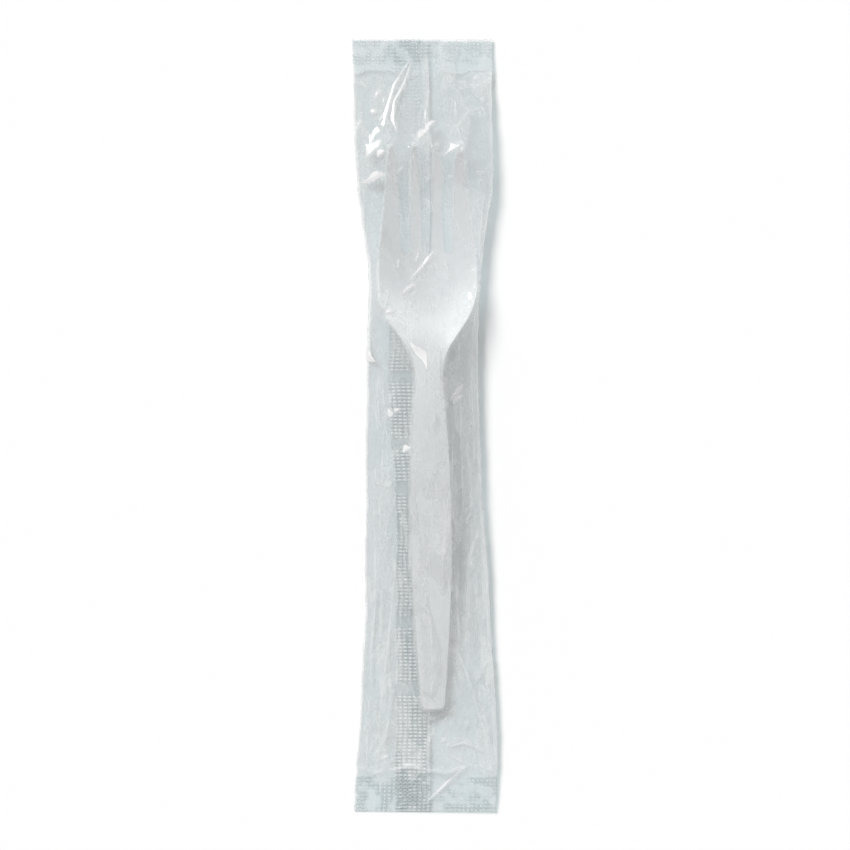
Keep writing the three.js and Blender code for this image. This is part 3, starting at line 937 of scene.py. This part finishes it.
def film_material(settings):
    material = bpy.data.materials.new("film_clear_crinkled")
    n = Nodes(material)
    web = n.add("ShaderNodeUVMap", uv_map="web").outputs["UV"]
    split = n.add("ShaderNodeSeparateXYZ", {"Vector": web})
    across = n.times(split.outputs["X"], PACK_LENGTH)
    along = n.times(split.outputs["Y"], PACK_LENGTH)
    where = n.add("ShaderNodeTexCoord").outputs["Object"]
    uneven = n.noise(where, 160.0, 2.0)
    patchy = n.noise(where, 300.0, 1.0)
    fine = n.noise(where, 520.0, 3.0, Roughness=0.6)

    # The end seals.
    top_start = PACK_LENGTH - SEAL_TOP
    shifted = n.line(uneven, 2.0, along)
    foot_seal = n.ramp(shifted, SEAL_FOOT + 1.5, SEAL_FOOT + 0.7)
    seal = n.most(n.ramp(shifted, top_start + 0.7, top_start + 1.5), foot_seal)
    dots = n.times(n.wave(across, SEAL_PITCH[0]), n.wave(along, SEAL_PITCH[1]))
    dots = n.ramp(dots, 0.25, 0.7)
    pressed = n.ramp(patchy, 0.36, 0.58)
    seal_dots = n.times(seal, dots, pressed)
    far, close = NEAR_SEAL
    by_top = n.ramp(along, top_start - far, top_start - close)
    by_seal = n.most(by_top, n.ramp(along, SEAL_FOOT + far, SEAL_FOOT + close))

    # The back seam.
    from_edge = n.maths("MINIMUM", across, n.maths("SUBTRACT", WEB_WIDTH, across))
    fin = n.ramp(from_edge, *FIN_EDGE)
    columns = n.ramp(n.wave(n.line(uneven, 0.8, from_edge), FIN_PITCH[0]), 0.1, 0.5, 0.25)
    rungs = n.ramp(n.wave(n.line(uneven, 0.5, along), FIN_PITCH[1]), 0.3, 0.7)
    breaks_at = n.add("ShaderNodeCombineXYZ", {"Y": n.times(along, 0.16)}).outputs[0]
    unbroken = n.ramp(n.noise(breaks_at, 1.0, 0.0), 0.3, 0.4)
    fin_dots = n.times(fin, rungs, columns, n.ramp(patchy, 0.26, 0.42), unbroken)

    # The relief.
    cells = n.add(
        "ShaderNodeTexVoronoi", {"Vector": where, "Scale": 330.0}, feature="DISTANCE_TO_EDGE"
    ).outputs["Distance"]
    crinkle = n.line(n.ramp(cells, 0.0, 0.3), 0.02, n.times(fine, 0.01))
    height = n.times(crinkle, n.without(n.most(seal, fin)))
    height = n.line(fin_dots, 0.05, n.line(seal_dots, 0.09, height))
    bump = n.add("ShaderNodeBump", {"Strength": 1.0, "Distance": MM, "Height": height})
    bump = bump.outputs["Normal"]

    # The gloss, raised where a glint is painted.
    crease = n.times(n.number("crease"), n.line(by_seal, -0.7, 1.0))
    pinched = n.number("pinched")
    touching = n.ramp(n.number("touching"), 0.45, 0.6)
    facing = n.add("ShaderNodeLayerWeight", {"Blend": 0.5, "Normal": bump}).outputs["Facing"]
    mirror = n.line(n.maths("POWER", facing, 4.5), 0.5, 0.05)
    calm = n.most(
        n.times(seal, 0.5), n.times(fin, 0.75), n.times(touching, 0.5), n.times(by_seal, 0.7)
    )
    mirror = n.most(n.times(mirror, n.without(calm)), n.times(pinched, 0.3))
    rough = n.line(pinched, 0.25, 0.1)

    # What is seen, and what a lamp sends, through the film.
    shadow = n.add("ShaderNodeLightPath").outputs["Is Shadow Ray"]
    blocked = n.times(shadow, n.line(fin, -0.85, 1.0))
    solid = n.line(unbroken, 0.5, 0.4)
    gaps = n.times(solid, n.without(fin_dots), fin, n.ramp(along, *NECK, 0.08))
    seal_gaps = n.times(seal, pressed, n.without(dots), n.line(foot_seal, 0.3, 0.3))
    seen = n.mix(n.most(gaps, seal_gaps), settings.tint, settings.fin_tint)
    tint = n.mix(blocked, seen, settings.shadow_tint)

    # The haze, in patches, with the glints painted on it in white.
    bent = n.vector("MULTIPLY_ADD", n.noise(where, 90.0, 2.0, "Color"), (BEND, BEND, 0), where)
    bent = n.vector("MULTIPLY", bent, PATCH_SHAPE)
    patch = n.add("ShaderNodeTexVoronoi", {"Vector": bent, "Scale": 230.0}).outputs["Color"]
    patch = n.add("ShaderNodeSeparateColor", {"Color": patch}).outputs["Red"]
    haze = n.line(crease, settings.crease_haze, settings.haze)
    haze = n.line(n.maths("SUBTRACT", patch, 0.5), settings.patchiness, haze)
    haze = n.times(haze, n.line(fin, -0.7, 1.0))
    haze = n.line(seal_dots, 0.16, haze)
    fin_haze = n.times(fin_dots, n.ramp(along, *NECK, 0.35), 0.5)
    # Painted highlight: where a glint is painted, the milky part rises almost to full and turns
    # white.
    haze = n.most(haze, fin_haze, n.times(pinched, 0.95))

    clear = n.add("ShaderNodeBsdfTransparent", {"Color": tint})
    gloss = n.add("ShaderNodeBsdfGlossy", {"Color": (1, 1, 1, 1), "Roughness": rough, "Normal": bump})
    # The haze's colour, turned to white where a glint is painted.
    haze_and_glint_colour = n.mix(pinched, settings.haze_colour, (1, 1, 1))
    milky = n.add("ShaderNodeBsdfDiffuse", {"Color": haze_and_glint_colour, "Normal": bump})
    skin = n.blend(mirror, n.blend(haze, clear, milky), gloss)
    n.add("ShaderNodeOutputMaterial", {"Surface": skin.outputs[0]})
    return material


def fork_material(settings):
    material = bpy.data.materials.new("fork_plastic_white")
    n = Nodes(material)
    places = n.add("ShaderNodeTexCoord").outputs
    where = places["Object"]
    upward = n.add("ShaderNodeSeparateXYZ", {"Vector": places["Normal"]}).outputs["Z"]
    # Painted highlight: the rounded edges, where the surface turns from facing up to facing sideways,
    # are painted lighter in place of the light that they catch.
    painted_rim_highlight = n.times(n.ramp(upward, 0.05, 0.3), n.ramp(upward, 0.94, 0.8))
    flow_at = n.add("ShaderNodeMapping", {"Vector": where, "Scale": (1.0, 0.3, 1.0)})
    flow = n.ramp(n.noise(flow_at.outputs[0], 60.0, 2.0), 0.3, 0.7)
    colour = n.mix(painted_rim_highlight, n.mix(flow, settings.plastic, settings.plastic_thin), settings.painted_rim_highlight)
    grain = n.noise(where, 900.0, 2.0)
    bump = n.add("ShaderNodeBump", {"Strength": 0.1, "Distance": 0.1 * MM, "Height": grain})
    rough = n.ramp(grain, 0.3, 0.7, settings.roughness - 0.04, settings.roughness + 0.04)
    body = n.add("ShaderNodeBsdfPrincipled", {
        "Base Color": colour, "Roughness": rough, "Specular IOR Level": 0.4,
        "Normal": bump.outputs["Normal"],
    })
    clear = n.add("ShaderNodeBsdfTransparent", {"Color": (0.97, 0.99, 1.0, 1)})
    shadow = n.add("ShaderNodeLightPath").outputs["Is Shadow Ray"]
    lengthwise = n.add("ShaderNodeSeparateXYZ", {"Vector": where}).outputs["Y"]
    through = n.ramp(lengthwise, 20 * MM, 45 * MM, settings.translucency, settings.translucency_thin)
    mixed = n.blend(shadow, body, n.blend(through, body, clear))
    n.add("ShaderNodeOutputMaterial", {"Surface": mixed.outputs[0]})
    return material


def floor_material(settings):
    material = bpy.data.materials.new("floor_white_paper")
    n = Nodes(material)
    body = n.add("ShaderNodeBsdfPrincipled", {
        "Base Color": (*settings.floor, 1), "Roughness": 0.9, "Specular IOR Level": 0.1,
    })
    n.add("ShaderNodeOutputMaterial", {"Surface": body.outputs[0]})
    return material


# The stage

# Each lamp: its name, energy and spread, its direction from +X and from straight up, in degrees,
# the kind of ray that doesn't see it, what it lights, and what shades it.
LAMPS = (
    ("floor_key", 3.0, 26, 130, 42, "visible_glossy", "floor", None),
    ("fork_soft", 2.3, 80, 118, 34, "visible_glossy", "fork", None),
    ("film_soft", 2.05, 80, 118, 34, "visible_glossy", "film", "fork"),
    ("glint_light", 0.8, 18, 146, 58, "visible_diffuse", "pack", None),
)
# The room's light by height, from the horizon to straight up.
ROOM_LIGHT = (
    (0.02, 0.9), (0.3, 0.55), (0.5, 0.8), (0.7, 0.35), (0.85, 0.5), (0.93, 1.3), (1.0, 1.6),
)


def light_group(name, pieces):
    """A collection that a lamp can be limited to."""
    group = bpy.data.collections.new(name)
    for piece in pieces:
        group.objects.link(piece)
    return group


def add_lamp(name, energy, spread, azimuth, polar, unseen, lit, shading):
    object_mode()
    bpy.ops.object.light_add(type="SUN")
    lamp = bpy.context.object
    lamp.name = name
    lamp.data.energy = energy
    lamp.data.angle = math.radians(spread)
    setattr(lamp, unseen, False)
    lamp.light_linking.receiver_collection = lit
    lamp.light_linking.blocker_collection = shading
    azimuth = math.radians(azimuth)
    polar = math.radians(polar)
    towards = Vector((
        math.sin(polar) * math.cos(azimuth), math.sin(polar) * math.sin(azimuth), math.cos(polar)
    ))
    lamp.rotation_euler = towards.to_track_quat("Z", "Y").to_euler()


def add_room(strength):
    world = bpy.data.worlds.new("studio_room")
    bpy.context.scene.world = world
    n = Nodes(world)
    where = n.add("ShaderNodeTexCoord").outputs["Generated"]
    height = n.add("ShaderNodeSeparateXYZ", {"Vector": where}).outputs["Z"]
    ramp = n.add("ShaderNodeValToRGB", {"Fac": height})
    stops = ramp.color_ramp.elements
    stops.remove(stops[1])
    stops[0].color = (ROOM_LIGHT[0][1],) * 3 + (1,)
    for position, level in ROOM_LIGHT:
        stops.new(position).color = (level, level, level, 1)
    light = n.add("ShaderNodeBackground", {"Color": ramp.outputs["Color"], "Strength": strength})
    n.add("ShaderNodeOutputWorld", {"Surface": light.outputs["Background"]})


# The add-on


class WRAPPEDFORK_PG_fork(bpy.types.PropertyGroup):
    edge_round: FloatProperty(
        name="Edge Rounding", description="How wide the rounding of the moulded edges is",
        default=0.26 * MM, min=0, unit="LENGTH",
    )
    roughness: FloatProperty(
        name="Roughness", description="How matt the plastic is", default=0.5, min=0.05, max=0.95,
        subtype="FACTOR",
    )
    translucency: FloatProperty(
        name="Translucency", description="How much light passes each face of the handle",
        default=0.4, min=0, max=1, subtype="FACTOR",
    )
    translucency_thin: FloatProperty(
        name="Tine Translucency", description="How much light passes each face of the bowl and tines",
        default=0.95, min=0, max=1, subtype="FACTOR",
    )
    plastic: FloatVectorProperty(
        name="Plastic", description="The colour of the white plastic", subtype="COLOR",
        default=(0.765, 0.765, 0.77), min=0, max=1,
    )
    plastic_thin: FloatVectorProperty(
        name="Plastic Variation", description="The plastic's colour where it flowed last",
        subtype="COLOR", default=(0.8, 0.798, 0.808), min=0, max=1,
    )
    # Painted highlight: the lighter colour painted on the thin rounded edges.
    painted_rim_highlight: FloatVectorProperty(
        name="Rim", description="The colour of the thin rounded edges, where light gathers",
        subtype="COLOR", default=(0.97, 0.97, 0.97), min=0, max=1,
    )


class WRAPPEDFORK_PG_film(bpy.types.PropertyGroup):
    crumpling: FloatProperty(
        name="Crumpling", description="How crumpled the film is, 1 being as handled", default=1,
        min=0, max=1.5, subtype="FACTOR",
    )
    haze: FloatProperty(
        name="Haze", description="How milky the smooth film is", default=0.19, min=0, max=1,
        subtype="FACTOR",
    )
    patchiness: FloatProperty(
        name="Patchiness", description="How much the haze differs from one patch to the next",
        default=0.13, min=0, max=1, subtype="FACTOR",
    )
    crease_haze: FloatProperty(
        name="Crease Haze", description="How much milkier the film is in a sharp crease",
        default=0.3, min=0, max=1, subtype="FACTOR",
    )
    haze_colour: FloatVectorProperty(
        name="Haze Colour", description="The colour of the milky part", subtype="COLOR",
        default=(0.9, 0.909, 0.915), min=0, max=1,
    )
    tint: FloatVectorProperty(
        name="Tint", description="What one ply does to what is seen through it", subtype="COLOR",
        default=(0.993, 0.996, 0.998), min=0, max=1,
    )
    fin_tint: FloatVectorProperty(
        name="Seam Tint", description="What one ply of the back seam does to what is seen through it",
        subtype="COLOR", default=(0.74, 0.785, 0.785), min=0, max=1,
    )
    shadow_tint: FloatVectorProperty(
        name="Shadow Tint", description="What one ply does to the light that passes it",
        subtype="COLOR", default=(0.725, 0.82, 0.835), min=0, max=1,
    )


class WRAPPEDFORK_PG_stage(bpy.types.PropertyGroup):
    camera_height: FloatProperty(
        name="Camera Height", description="How far above the floor the camera is", default=1.2,
        min=0.3, unit="LENGTH",
    )
    view_width: FloatProperty(
        name="View Width", description="How much of the floor the camera sees", default=0.239,
        min=0.05, unit="LENGTH",
    )
    floor_size: FloatProperty(
        name="Floor Size", description="The side of the square floor", default=6, min=1,
        unit="LENGTH",
    )
    room: FloatProperty(
        name="Room Light", description="The strength of the room's light", default=0.55, min=0,
    )
    floor: FloatVectorProperty(
        name="Floor", description="The colour of the floor", subtype="COLOR",
        default=(0.9, 0.9, 0.9), min=0, max=1,
    )


class WRAPPEDFORK_OT_fork(bpy.types.Operator):
    """Build the moulded plastic fork"""

    bl_idname = "wrapped_fork.fork"
    bl_label = "Build Fork"

    def execute(self, context):
        settings = context.scene.wrapped_fork_moulding
        piece = build_fork(settings.edge_round)
        piece.data.materials.append(fork_material(settings))
        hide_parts("fork")
        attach(piece, "root")
        return {"FINISHED"}


class WRAPPEDFORK_OT_film(bpy.types.Operator):
    """Fold the sheet of clear film round the fork and seal it"""

    bl_idname = "wrapped_fork.film"
    bl_label = "Build Film"

    def execute(self, context):
        settings = context.scene.wrapped_fork_film
        fork = bpy.data.objects[FORK_NAME]
        piece = build_film(fork, settings.crumpling)
        piece.data.materials.append(film_material(settings))
        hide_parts("film_wrapper")
        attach(piece, "root")
        return {"FINISHED"}


class WRAPPEDFORK_OT_stage(bpy.types.Operator):
    """Add the floor, the lamps, the room light and the camera"""

    bl_idname = "wrapped_fork.stage"
    bl_label = "Build Stage"

    def execute(self, context):
        settings = context.scene.wrapped_fork_stage
        object_mode()
        bpy.ops.object.select_all(action="DESELECT")
        bpy.ops.mesh.primitive_plane_add(size=settings.floor_size, location=(0, 0, 0))
        floor = context.object
        floor.name = "studio_floor"
        floor.data.materials.append(floor_material(settings))

        fork = bpy.data.objects[FORK_NAME]
        film = bpy.data.objects[FILM_NAME]
        groups = {
            None: None,
            "floor": light_group("floor_light", [floor]),
            "fork": light_group("fork_light", [fork]),
            "film": light_group("film_light", [film]),
            "pack": light_group("pack_light", [fork, film]),
        }
        for *lamp, lit, shading in LAMPS:
            add_lamp(*lamp, groups[lit], groups[shading])
        add_room(settings.room)

        bpy.ops.object.camera_add(location=(0, 0, settings.camera_height))
        camera = context.object
        camera.name = "camera"
        camera.data.lens = camera.data.sensor_width * settings.camera_height / settings.view_width
        camera.data.clip_start = 0.01
        scene = context.scene
        scene.camera = camera
        scene.view_settings.view_transform = "Standard"
        scene.cycles.transparent_max_bounces = 48
        scene.cycles.caustics_reflective = False
        scene.cycles.caustics_refractive = False
        return {"FINISHED"}


class WRAPPEDFORK_PT_sidebar(bpy.types.Panel):
    bl_idname = "WRAPPEDFORK_PT_sidebar"
    bl_label = "Wrapped Fork"
    bl_space_type = "VIEW_3D"
    bl_region_type = "UI"
    bl_category = "Wrapped Fork"

    def draw(self, context):
        scene = context.scene
        for operator, settings in (
            (WRAPPEDFORK_OT_fork, scene.wrapped_fork_moulding),
            (WRAPPEDFORK_OT_film, scene.wrapped_fork_film),
            (WRAPPEDFORK_OT_stage, scene.wrapped_fork_stage),
        ):
            box = self.layout.box()
            box.operator(operator.bl_idname)
            for name in settings.__annotations__:
                box.prop(settings, name)


CLASSES = (
    WRAPPEDFORK_PG_fork,
    WRAPPEDFORK_PG_film,
    WRAPPEDFORK_PG_stage,
    WRAPPEDFORK_OT_fork,
    WRAPPEDFORK_OT_film,
    WRAPPEDFORK_OT_stage,
    WRAPPEDFORK_PT_sidebar,
)


def register():
    for entry in CLASSES:
        bpy.utils.register_class(entry)
    bpy.types.Scene.wrapped_fork_moulding = PointerProperty(type=WRAPPEDFORK_PG_fork)
    bpy.types.Scene.wrapped_fork_film = PointerProperty(type=WRAPPEDFORK_PG_film)
    bpy.types.Scene.wrapped_fork_stage = PointerProperty(type=WRAPPEDFORK_PG_stage)


def unregister():
    del bpy.types.Scene.wrapped_fork_stage
    del bpy.types.Scene.wrapped_fork_film
    del bpy.types.Scene.wrapped_fork_moulding
    for entry in reversed(CLASSES):
        bpy.utils.unregister_class(entry)


def main():
    register()
    bpy.ops.wrapped_fork.fork()
    bpy.ops.wrapped_fork.film()
    bpy.ops.wrapped_fork.stage()


if __name__ == "__main__":
    main()
